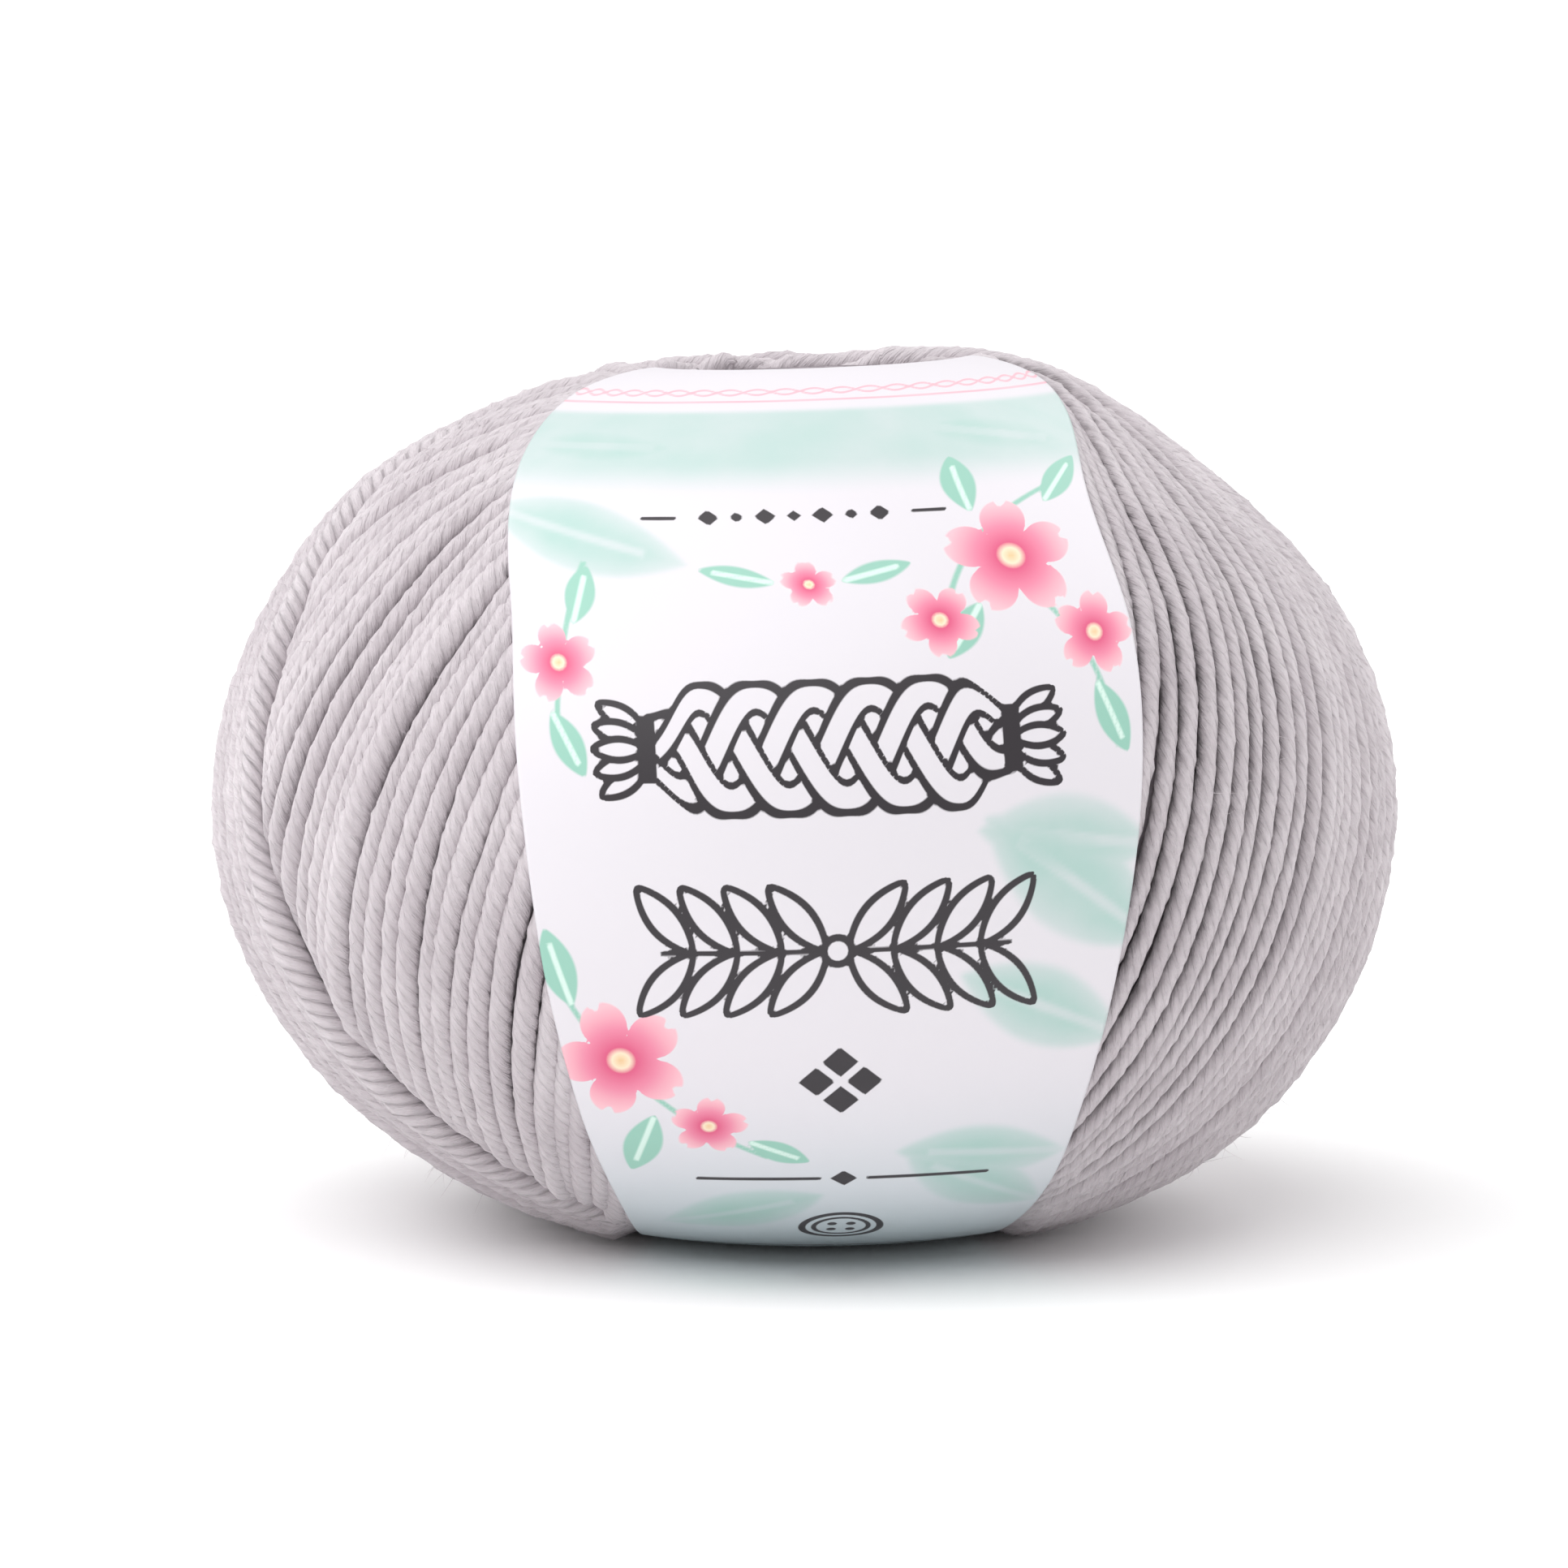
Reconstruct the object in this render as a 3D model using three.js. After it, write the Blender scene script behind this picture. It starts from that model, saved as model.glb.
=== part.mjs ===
// A 50 g ball of plied wool with its paper label band, in millimetres, +Z up, on its flat spot at z = 0.
//
// The ball is machine wound: each turn of yarn is a tilted loop that touches the rim of a centre hole at the
// top and at the bottom, and each next loop is turned a little further round the hole's axis. Seen from
// outside, one half of the ball shows the rising runs and the other half the falling runs, and the last loop
// parts the two. The label is one paper strip. It lies over the front of the ball and goes back up through
// the centre hole. Azimuth 0 faces -Y, the label's side, and grows towards +X.
import * as THREE from "three";

// The ball
const BALL_RADIUS = 50; // at the widest level
const FLAT_DEPTH = 0.7; // how much of the bottom crest the table presses flat
const UPPER_HEIGHT = 37.9; // from the widest level up to the top crest
const LOWER_HEIGHT = 36; // from the widest level down to the bottom crest: the soft ball sags
const WIDEST_LEVEL = LOWER_HEIGHT - FLAT_DEPTH;
const UPPER_POWER = 1.26; // over 1 draws the shoulders in towards the crest
const LOWER_POWER = 1.08;
const CREST_RADIUS = 14; // the rounded lip round the hole
const HOLE_RADIUS = 9;
const FUNNEL_DEPTH = 9; // from a crest down to where the hole's wall is upright
const CREST_TILT = 0.5; // the top crest is this much higher at its +X side and lower at its -X side
// How far each level of the ball sits aside to +X: it was never quite true, and it slumps a little
const SWAY = [
  { level: -37, aside: 0.2 },
  { level: -29, aside: 0.9 },
  { level: -20, aside: 0.4 },
  { level: -8, aside: 0 },
  { level: 6, aside: 0 },
  { level: 18, aside: -0.2 },
  { level: 29, aside: -1.4 },
  { level: 38, aside: 0.8 },
];

// The winding
const TURN_RADIUS = 14.6; // how near the axis a loop passes, where it grazes the rim
const LAST_LOOP = THREE.MathUtils.degToRad(-65); // azimuth of the last loop's falling run at the widest level
const LAY_RIDGES = 24; // raised lays of neighbouring turns, all round
const RIDGE_DEPTH = 0.9; // of the furrow between two lays
const LAST_STEP = 1.1; // the older turns dive this far under the last loop
const STEP_WIDTH = 3.5;
const RIDGES_FADE_FROM = 26; // distance from the axis where the furrows start to close up
const RIDGES_FADE_TO = 16;

// The label band
const BAND_THICKNESS = 1;
const BAND_GAP = 0.3;
const BAND_PRESS = 0.5; // how far the tight band pushes the yarn in over the ball's front
// The same at the bottom crest, so that the yarn and not the paper bears the weight
const BAND_PRESS_AT_TABLE = FLAT_DEPTH + BAND_GAP + BAND_THICKNESS + 0.1;
const BAND_PRESSES = [
  { along: 0, press: BAND_PRESS_AT_TABLE },
  { along: 0.15, press: BAND_PRESS_AT_TABLE },
  { along: 0.5, press: BAND_PRESS },
  { along: 2, press: BAND_PRESS },
  { along: 2.4, press: 0 },
  { along: 3.5, press: 0 },
  { along: 3.8, press: BAND_PRESS_AT_TABLE },
  { along: 4, press: BAND_PRESS_AT_TABLE },
];
const BAND_CENTRE_X = 2.6; // the band sits a little to +X
// Half the strip's width, from the bottom crest over the front to the top crest and down the hole
const BAND_HALF_WIDTHS = [
  { along: 0, half: 15 },
  { along: 0.3, half: 16.8 },
  { along: 0.6, half: 20.6 },
  { along: 0.9, half: 24.1 },
  { along: 1.2, half: 26.2 },
  { along: 1.5, half: 25.6 },
  { along: 1.8, half: 24.2 },
  { along: 2, half: 18 },
  { along: 2.5, half: 11.5 },
  { along: 3.5, half: 11.5 },
  { along: 4, half: 15 },
];

// The ball's axis lies this far behind the origin, which keeps ball and band together centred over it
const BALL_SET_BACK = 0.6;

// Mesh density
const AROUND = 120;
const OUTER_ROWS = 28;
const FUNNEL_ROWS = 3;
const WALL_ROWS = 3;
const BAND_ACROSS = 14;
const QUARTER = Math.PI / 2;

// A smooth curve through a table's rows: the value of one column where another column has the given value
function between(rows, key, value, at) {
  const last = rows.length - 1;
  const low = THREE.MathUtils.clamp(rows.findLastIndex((row) => row[key] <= at), 0, last - 1);
  const slope = (i) => {
    const [a, b] = [rows[Math.max(0, i - 1)], rows[Math.min(last, i + 1)]];
    return (b[value] - a[value]) / (b[key] - a[key]);
  };
  const [from, to] = [rows[low], rows[low + 1]];
  const span = to[key] - from[key];
  const t = THREE.MathUtils.clamp((at - from[key]) / span, 0, 1);
  const rise = to[value] - from[value];
  const bend = t * (1 - t) * ((1 - t) * (slope(low) * span - rise) - t * (slope(low + 1) * span - rise));
  return from[value] + rise * t + bend;
}

// One place on the closed half section of the ball, as a distance from the axis and a height.
// along runs 0 to 2 up the outside from bottom crest to top crest, to 2.5 down the funnel, to 3.5 down the
// hole's wall, and to 4 back up over the bottom lip. The outside is a power of a cosine over a sine, and the
// lips are quarter ellipses.
function section(along) {
  const s = ((along % 4) + 4) % 4;
  const top = WIDEST_LEVEL + UPPER_HEIGHT;
  const bottom = WIDEST_LEVEL - LOWER_HEIGHT;
  const lip = CREST_RADIUS - HOLE_RADIUS;
  if (s <= 2) {
    const angle = (s - 1) * QUARTER;
    const height = angle > 0 ? UPPER_HEIGHT : LOWER_HEIGHT;
    const power = angle > 0 ? UPPER_POWER : LOWER_POWER;
    const reach = (BALL_RADIUS - CREST_RADIUS) * Math.max(0, Math.cos(angle)) ** power;
    return { radius: CREST_RADIUS + reach, z: WIDEST_LEVEL + height * Math.sin(angle) };
  }
  if (s < 2.5) {
    const turn = (s - 2) * Math.PI;
    return { radius: CREST_RADIUS - lip * Math.sin(turn), z: top - FUNNEL_DEPTH * (1 - Math.cos(turn)) };
  }
  if (s <= 3.5) {
    const wall = top - bottom - 2 * FUNNEL_DEPTH;
    return { radius: HOLE_RADIUS, z: top - FUNNEL_DEPTH - wall * (s - 2.5) };
  }
  const turn = (4 - s) * Math.PI;
  return { radius: CREST_RADIUS - lip * Math.sin(turn), z: bottom + FUNNEL_DEPTH * (1 - Math.cos(turn)) };
}

// The section's outward direction at a place, from the two places beside it
function sectionNormal(along) {
  const before = section(along - 0.01);
  const after = section(along + 0.01);
  const dr = after.radius - before.radius;
  const dz = after.z - before.z;
  const length = Math.hypot(dr, dz);
  return { radial: dz / length, up: -dr / length };
}

// How far round the axis a loop has gone when it has climbed from the widest level to a place on the outside.
// Taut yarn turns by c / (r sqrt(r^2 - c^2)) a millimetre, where r is the distance from the axis and c the
// least one. The sum is scaled to a quarter turn at the rim.
const loopAdvance = (() => {
  const steps = 300;
  const sums = { 1: [0], "-1": [0] };
  for (const side of [1, -1])
    for (let i = 0; i < steps; i++) {
      const here = section(1 + (side * i) / steps);
      const next = section(1 + (side * (i + 1)) / steps);
      const radius = (here.radius + next.radius) / 2;
      const length = Math.hypot(next.radius - here.radius, next.z - here.z);
      const taut = radius * Math.sqrt(Math.max(1, radius ** 2 - TURN_RADIUS ** 2));
      sums[side].push(sums[side][i] + (TURN_RADIUS * length) / taut);
    }
  return (along) => {
    const side = along < 1 ? -1 : 1;
    const at = Math.min(steps, Math.abs(along - 1) * steps);
    const low = Math.min(steps - 1, Math.floor(at));
    const sum = THREE.MathUtils.lerp(sums[side][low], sums[side][low + 1], at - low);
    return (side * QUARTER * sum) / sums[side][steps];
  };
})();

const wrapTurn = (angle) => ((angle % (2 * Math.PI)) + 2 * Math.PI) % (2 * Math.PI);

// Depth of the furrows between the lays, and of the step where older turns dive under the last loop
function windingRelief(azimuth, along) {
  if (along > 2) return 0;
  const { radius } = section(along);
  const fade = THREE.MathUtils.smoothstep(radius, RIDGES_FADE_TO, RIDGES_FADE_FROM);
  const advance = loopAdvance(along);
  const risingAge = wrapTurn(LAST_LOOP + Math.PI - (azimuth - advance));
  const fallingAge = wrapTurn(LAST_LOOP - (azimuth + advance));
  const age = Math.min(risingAge, fallingAge);
  const furrow = RIDGE_DEPTH * (0.5 - 0.5 * Math.cos(LAY_RIDGES * age));
  const pastLast = (2 * Math.PI - Math.max(risingAge, fallingAge)) * radius;
  const dive = LAST_STEP * Math.max(0, 1 - pastLast / STEP_WIDTH);
  return fade * Math.max(furrow, dive);
}

function bandHalfWidth(along) {
  return between(BAND_HALF_WIDTHS, "along", "half", ((along % 4) + 4) % 4);
}

// The azimuth of the band's middle, which keeps nearly the same distance to +X all the way up
function bandCentre(along) {
  const { radius } = section(along);
  return Math.asin(BAND_CENTRE_X / Math.max(radius, 2 * BALL_RADIUS - radius));
}

// How far the band has pushed the yarn in: all its depth under the strip, easing out beside it
function bandPress(azimuth, along) {
  const { radius } = section(along);
  const aside = Math.abs(wrapTurn(azimuth - bandCentre(along) + Math.PI) - Math.PI) * radius;
  const edge = bandHalfWidth(along);
  const under = 1 - THREE.MathUtils.smoothstep(aside, edge + 2, edge + 6);
  return under * between(BAND_PRESSES, "along", "press", along);
}

// A point of the ball's surface, moved outwards by raise: the section turned round the axis, with each
// level's sway and a top crest that is not quite level
function surfacePoint(azimuth, along, raise) {
  const { radius, z } = section(along);
  const normal = sectionNormal(along);
  const r = radius + normal.radial * raise;
  const height = z + normal.up * raise - WIDEST_LEVEL;
  const tilt = CREST_TILT * Math.sin(azimuth) * THREE.MathUtils.smoothstep(height, 0, UPPER_HEIGHT);
  return new THREE.Vector3(
    r * Math.sin(azimuth) + between(SWAY, "level", "aside", height),
    BALL_SET_BACK - r * Math.cos(azimuth),
    WIDEST_LEVEL + height + tilt,
  );
}

// Places along the closed section: even steps up the outside, and fewer down the hole
function sectionRows() {
  const rows = [];
  for (let i = 0; i < OUTER_ROWS; i++) rows.push((2 * i) / OUTER_ROWS);
  for (let i = 0; i < FUNNEL_ROWS; i++) rows.push(2 + (0.5 * i) / FUNNEL_ROWS);
  for (let i = 0; i < WALL_ROWS; i++) rows.push(2.5 + i / WALL_ROWS);
  for (let i = 0; i < FUNNEL_ROWS; i++) rows.push(3.5 + (0.5 * i) / FUNNEL_ROWS);
  return rows;
}

// A closed skin over rings of points, each ring joined to the next and the last to the first
function skinOver(rings) {
  const count = rings[0].length;
  const positions = rings.flat().flatMap((point) => point.toArray());
  const index = [];
  rings.forEach((ring, i) => {
    const next = (i + 1) % rings.length;
    for (let j = 0; j < count; j++) {
      const k = (j + 1) % count;
      const [a, b, c, d] = [i * count + j, i * count + k, next * count + k, next * count + j];
      index.push(a, b, c, a, c, d);
    }
  });
  const geometry = new THREE.BufferGeometry();
  geometry.setAttribute("position", new THREE.Float32BufferAttribute(positions, 3));
  geometry.setIndex(index);
  geometry.computeVertexNormals();
  return geometry;
}

// The wound ball: one ring of points round the axis at each row, flattened where it would pass under z = 0
function yarnBall() {
  const rings = sectionRows().map((along) =>
    Array.from({ length: AROUND }, (_, j) => {
      const azimuth = (2 * Math.PI * j) / AROUND;
      const depth = windingRelief(azimuth, along) + bandPress(azimuth, along);
      const point = surfacePoint(azimuth, along, -depth);
      point.z = Math.max(0, point.z);
      return point;
    }),
  );
  const wool = new THREE.MeshStandardMaterial({ color: 0xc9c0c6, roughness: 0.95, metalness: 0 });
  const mesh = new THREE.Mesh(skinOver(rings), wool);
  mesh.name = "yarn_ball";
  return mesh;
}

// The label band: at each row, one ring round the strip's own cross-section, its outer face first
function labelBand() {
  const rings = sectionRows().map((along) => {
    const { radius } = section(along);
    const halfAngle = bandHalfWidth(along) / radius;
    const lift = BAND_GAP - bandPress(bandCentre(along), along);
    const face = (height) =>
      Array.from({ length: BAND_ACROSS + 1 }, (_, j) => {
        const azimuth = bandCentre(along) + halfAngle * ((2 * j) / BAND_ACROSS - 1);
        return surfacePoint(azimuth, along, height);
      });
    return [...face(lift + BAND_THICKNESS), ...face(lift).reverse()];
  });
  const paper = new THREE.MeshStandardMaterial({ color: 0xe6eaea, roughness: 0.55, metalness: 0 });
  const mesh = new THREE.Mesh(skinOver(rings), paper);
  mesh.name = "label_band";
  return mesh;
}

const ballOfYarn = new THREE.Group();
ballOfYarn.name = "ball_of_yarn";
ballOfYarn.add(yarnBall(), labelBand());

export default ballOfYarn;
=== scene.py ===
import math
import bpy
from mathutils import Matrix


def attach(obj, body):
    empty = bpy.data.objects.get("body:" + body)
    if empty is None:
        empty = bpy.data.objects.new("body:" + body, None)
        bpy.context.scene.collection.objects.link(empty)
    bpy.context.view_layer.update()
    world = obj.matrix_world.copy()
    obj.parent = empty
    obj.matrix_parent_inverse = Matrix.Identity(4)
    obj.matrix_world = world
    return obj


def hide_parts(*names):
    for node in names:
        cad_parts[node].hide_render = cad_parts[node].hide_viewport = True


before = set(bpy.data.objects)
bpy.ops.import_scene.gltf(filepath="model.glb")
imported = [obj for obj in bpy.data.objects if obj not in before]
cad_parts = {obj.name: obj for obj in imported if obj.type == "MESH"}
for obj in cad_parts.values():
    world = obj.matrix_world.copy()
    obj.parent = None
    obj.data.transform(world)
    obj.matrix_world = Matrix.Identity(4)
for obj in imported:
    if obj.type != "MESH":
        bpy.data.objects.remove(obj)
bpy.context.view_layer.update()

from types import SimpleNamespace

import bpy
import numpy as np
from mathutils import Vector

# ---- The camera ----
# It stands a little above the ball's middle and well back, with a long lens, so the ball keeps its true
# outline and the rim of the hole just shows over the top of the label.
CAMERA_DISTANCE = 0.600
CAMERA_ELEVATION = math.radians(6.5)
CAMERA_TARGET = Vector((0, 0, 0.038))
LENS_MM, SENSOR_MM = 162.3, 36
LENS_SHIFT = (-0.0125, -0.0071)
NEAR_CLIP, FAR_CLIP = 0.01, 100

camera_data = bpy.data.cameras.new("camera")
camera_data.lens, camera_data.sensor_width = LENS_MM, SENSOR_MM
camera_data.shift_x, camera_data.shift_y = LENS_SHIFT
camera_data.clip_start, camera_data.clip_end = NEAR_CLIP, FAR_CLIP
camera = bpy.data.objects.new("camera", camera_data)
toward_camera = Vector((0, -math.cos(CAMERA_ELEVATION), math.sin(CAMERA_ELEVATION)))
camera.location = CAMERA_TARGET + CAMERA_DISTANCE * toward_camera
camera.rotation_euler = (math.pi / 2 - CAMERA_ELEVATION, 0, 0)
bpy.context.scene.collection.objects.link(camera)
bpy.context.scene.camera = camera

# ---- The core of the ball ----
# The inner layers of the same wool, which show only as the floor of the gaps between the outer turns and
# as the wall of the centre hole, both darkened with painted shade. The ball is wound on a spindle, which
# leaves that hole.
MM = 0.001
BALL_RADIUS, BALL_SET_BACK = 50.0, 0.6
UPPER_HEIGHT, LOWER_HEIGHT, FLAT_DEPTH = 37.9, 36.0, 0.7
WIDEST_LEVEL = LOWER_HEIGHT - FLAT_DEPTH
UPPER_POWER, LOWER_POWER = 1.26, 1.08
CREST_RADIUS, HOLE_RADIUS, FUNNEL_DEPTH = 14.0, 9.0, 9.0
CREST_TILT = 0.5
# height over the widest level, and how far the section there is moved to +X
SWAY = [(-37, 0.2), (-29, 0.9), (-20, 0.4), (-8, 0), (6, 0), (18, -0.2), (29, -1.4), (38, 0.8)]
CORE_DEPTH, CORE_FLOOR = 1.5, 0.6
CORE_AROUND, CORE_OUTSIDE, CORE_INSIDE = 200, 50, 110
HOLE_TURNS, HOLE_LEAN, HOLE_RELIEF = 14, 32, 1.0
# painted shade of the core where it shows in the gaps between the outer turns
GAP_SHADE = 0.75


def between(rows, at):
    """A smooth curve through the rows (place, value): in each span, the cubic whose slope at a row is that
    of the line between the rows on either side of it. Outside the table it keeps the end value."""
    key, value = np.array(rows, float).T
    slope = np.empty(len(key))
    slope[1:-1] = (value[2:] - value[:-2]) / (key[2:] - key[:-2])
    slope[0] = (value[1] - value[0]) / (key[1] - key[0])
    slope[-1] = (value[-1] - value[-2]) / (key[-1] - key[-2])
    low = np.clip(np.searchsorted(key, at, side="right") - 1, 0, len(key) - 2)
    span, rise = key[low + 1] - key[low], value[low + 1] - value[low]
    t = np.clip((at - key[low]) / span, 0, 1)
    bend = t * (1 - t) * ((1 - t) * (slope[low] * span - rise) - t * (slope[low + 1] * span - rise))
    return value[low] + rise * t + bend


def smoothstep(x, start, end):
    """0 before start, 1 after end, and 3t^2 - 2t^3 between them."""
    t = np.clip((x - start) / (end - start), 0, 1)
    return t * t * (3 - 2 * t)


def half_section(along):
    """Distance from the axis and height of a place on the closed half section. From 0 to 2 it runs up the
    outside: the crest radius plus a power of a cosine, over a sine. Then a quarter ellipse down the funnel
    to 2.5, the straight wall of the hole to 3.5, and a quarter ellipse over the bottom lip to 4."""
    s = np.mod(along, 4)
    top, bottom = WIDEST_LEVEL + UPPER_HEIGHT, WIDEST_LEVEL - LOWER_HEIGHT
    angle = (np.clip(s, 0, 2) - 1) * np.pi / 2
    power = np.where(angle > 0, UPPER_POWER, LOWER_POWER)
    height = np.where(angle > 0, UPPER_HEIGHT, LOWER_HEIGHT)
    outside = CREST_RADIUS + (BALL_RADIUS - CREST_RADIUS) * np.maximum(0, np.cos(angle)) ** power
    upper, lower = (np.clip(s, 2, 2.5) - 2) * np.pi, (4 - np.clip(s, 3.5, 4)) * np.pi
    lip = CREST_RADIUS - HOLE_RADIUS
    wall = top - bottom - 2 * FUNNEL_DEPTH
    parts = [s <= 2, s < 2.5, s <= 3.5]
    radius = np.select(parts, [outside, CREST_RADIUS - lip * np.sin(upper), HOLE_RADIUS + 0 * s],
                       CREST_RADIUS - lip * np.sin(lower))
    levels = [WIDEST_LEVEL + height * np.sin(angle), top - FUNNEL_DEPTH * (1 - np.cos(upper)),
              top - FUNNEL_DEPTH - wall * (s - 2.5)]
    level = np.select(parts, levels, bottom + FUNNEL_DEPTH * (1 - np.cos(lower)))
    return radius, level


def on_ball(azimuth, along, raised):
    """The point in millimetres at an azimuth from the front and a place along the half section, moved
    outwards by raised: the section turned round the axis, with each level's sway and a top crest that is
    not quite level."""
    radius, level = half_section(along)
    before, after = half_section(along - 0.01), half_section(along + 0.01)
    slope = np.hypot(after[0] - before[0], after[1] - before[1])
    r = radius + raised * (after[1] - before[1]) / slope
    height = level - raised * (after[0] - before[0]) / slope - WIDEST_LEVEL
    tilt = CREST_TILT * np.sin(azimuth) * smoothstep(height, 0, UPPER_HEIGHT)
    x = r * np.sin(azimuth) + between(SWAY, height)
    y = BALL_SET_BACK - r * np.cos(azimuth)
    return np.stack([x, y, WIDEST_LEVEL + height + tilt], axis=-1)


BAND_PRESS, BAND_PRESS_AT_TABLE = 0.5, 1.2
BAND_CENTRE_X = 2.6
# place along the half section, and how deep the label is pressed in there
BAND_PRESSES = [(0, BAND_PRESS_AT_TABLE), (0.15, BAND_PRESS_AT_TABLE), (0.5, BAND_PRESS), (2, BAND_PRESS),
                (2.4, 0), (3.5, 0), (3.8, BAND_PRESS_AT_TABLE), (4, BAND_PRESS_AT_TABLE)]
# place along the half section, and half the label's width there
BAND_HALF_WIDTHS = [(0, 15), (0.3, 16.8), (0.6, 20.6), (0.9, 24.1), (1.2, 26.2), (1.5, 25.6), (1.8, 24.2),
                    (2, 18), (2.5, 11.5), (3.5, 11.5), (4, 15)]


def band_centre(along):
    """Azimuth of the label's middle, which keeps the same distance to +X all the way up."""
    radius = half_section(along)[0]
    return np.arcsin(BAND_CENTRE_X / np.maximum(radius, 2 * BALL_RADIUS - radius))


def band_press(azimuth, along):
    """How far the label pushes the wool in: fully under the strip, easing out over 4 mm beside it."""
    radius = half_section(along)[0]
    turn = np.mod(azimuth - band_centre(along) + np.pi, 2 * np.pi) - np.pi
    edge = between(BAND_HALF_WIDTHS, np.mod(along, 4))
    under = 1 - smoothstep(np.abs(turn) * radius, edge + 0.5, edge + 4.5)
    return under * between(BAND_PRESSES, np.mod(along, 4))


def mesh_piece(name, points, face_sets, values):
    """A smooth-shaded piece from points in millimetres, sets of faces with equal numbers of corners, and
    named values, one number or one triple a point."""
    mesh = bpy.data.meshes.new(name)
    mesh.vertices.add(len(points))
    mesh.vertices.foreach_set("co", (points * MM).astype(np.float32).ravel())
    corners = np.concatenate([faces.ravel() for faces in face_sets])
    sizes = np.concatenate([np.full(len(faces), faces.shape[1]) for faces in face_sets])
    mesh.loops.add(len(corners))
    mesh.loops.foreach_set("vertex_index", corners.astype(np.int32))
    mesh.polygons.add(len(sizes))
    mesh.polygons.foreach_set("loop_start", (np.cumsum(sizes) - sizes).astype(np.int32))
    mesh.update(calc_edges=True)
    mesh.shade_smooth()
    for label, column in values.items():
        triple = column.ndim > 1
        layer = mesh.attributes.new(label, "FLOAT_VECTOR" if triple else "FLOAT", "POINT")
        layer.data.foreach_set("vector" if triple else "value", column.astype(np.float32).ravel())
    piece = bpy.data.objects.new(name, mesh)
    bpy.context.scene.collection.objects.link(piece)
    return piece


def ring_faces(rings, count):
    """Corner numbers of the quads between rings of count points, with the last ring joined to the first."""
    ring, spot = np.meshgrid(np.arange(rings), np.arange(count), indexing="ij")
    here, following, beside = ring * count, (ring + 1) % rings * count, (spot + 1) % count
    corners = [here + spot, here + beside, following + beside, following + spot]
    return np.stack(corners, axis=-1).reshape(-1, 4)


def new_material(name, roughness, specular):
    """A material with these constants on its shader, and its node tree and shader."""
    material = bpy.data.materials.new(name)
    material.use_nodes = True
    shader = material.node_tree.nodes["Principled BSDF"]
    shader.inputs["Roughness"].default_value = roughness
    shader.inputs["Specular IOR Level"].default_value = specular
    return material, material.node_tree, shader


def add_node(tree, kind, inputs, **settings):
    """A shader node with these settings, and each input socket holding a value or linked to an output."""
    node = tree.nodes.new("ShaderNode" + kind)
    for name, setting in settings.items():
        setattr(node, name, setting)
    for socket, value in inputs.items():
        if isinstance(value, bpy.types.NodeSocket):
            tree.links.new(value, node.inputs[socket])
        else:
            node.inputs[socket].default_value = value
    return node


def object_place(tree):
    """The place on the object, in metres."""
    return add_node(tree, "TexCoord", {}).outputs["Object"]


def own_value(tree, name):
    """The number that the mesh holds under this name."""
    return add_node(tree, "Attribute", {}, attribute_name=name).outputs["Fac"]


def noise(tree, vector, scale, detail):
    """A noise of this scale over a place, with this many finer layers."""
    return add_node(tree, "TexNoise", {"Vector": vector, "Scale": scale, "Detail": detail}).outputs["Fac"]


def maths(tree, operation, *terms):
    """One operation on these numbers or outputs, in their order."""
    return add_node(tree, "Math", dict(enumerate(terms)), operation=operation).outputs[0]


def colour_ramp(tree, factor, stops):
    """A colour ramp over the factor with these stops, each a position and a colour."""
    node = add_node(tree, "ValToRGB", {"Fac": factor})
    elements = node.color_ramp.elements
    while len(elements) < len(stops):
        elements.new(0.5)
    for element, (position, colour) in zip(elements, stops):
        element.position, element.color = position, (*colour, 1)
    return node.outputs["Color"]


# The core's colour runs from the wool's own colour to dark painted shade, in the gaps under the outer turns
# and in the hole wall's furrows, mottled by a noise
wool_core, tree, shader = new_material("wool_core", 1.0, 0.1)
shade_mottle = noise(tree, object_place(tree), 2500.0, 3.0)
shade = maths(tree, "MULTIPLY_ADD", shade_mottle, 0.5, own_value(tree, "hollow_and_shade"))
shaded_core_colour = colour_ramp(tree, shade, [(0.2, (0.56, 0.51, 0.54)), (1.0, (0.22, 0.195, 0.21))])
tree.links.new(shaded_core_colour, shader.inputs["Base Color"])

core_along = np.concatenate([np.linspace(0, 2, CORE_OUTSIDE, endpoint=False),
                             np.linspace(2, 4, CORE_INSIDE, endpoint=False)])
along_rows, azimuth_columns = np.meshgrid(core_along, np.linspace(0, 2 * np.pi, CORE_AROUND, endpoint=False),
                                          indexing="ij")
hole_wall = smoothstep(along_rows, 2.0, 2.3) * (1 - smoothstep(along_rows, 3.7, 4.0))
leaning = [np.abs(np.cos(HOLE_TURNS * azimuth_columns + way * (HOLE_LEAN * along_rows + 1))) ** 0.5
           for way in (1, -1)]
# how deep the hole wall's furrows are, which sets both their relief and their painted shade, and the painted
# shade of the gaps elsewhere
hollow_and_shade = GAP_SHADE * (1 - hole_wall) + (1 - np.maximum(leaning[0], 0.7 * leaning[1])) * hole_wall
core_depth = CORE_DEPTH * (1 - hole_wall) + HOLE_RELIEF * hollow_and_shade * hole_wall
core_depth += band_press(azimuth_columns, along_rows)
core_points = on_ball(azimuth_columns, along_rows, -core_depth)
core_points[..., 2] = np.maximum(core_points[..., 2], CORE_FLOOR)
core = mesh_piece("yarn_core", core_points.reshape(-1, 3), [ring_faces(len(core_along), CORE_AROUND)],
                  {"hollow_and_shade": hollow_and_shade.ravel()})
core.data.materials.append(wool_core)
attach(core, "root")
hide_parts("yarn_ball")

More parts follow.
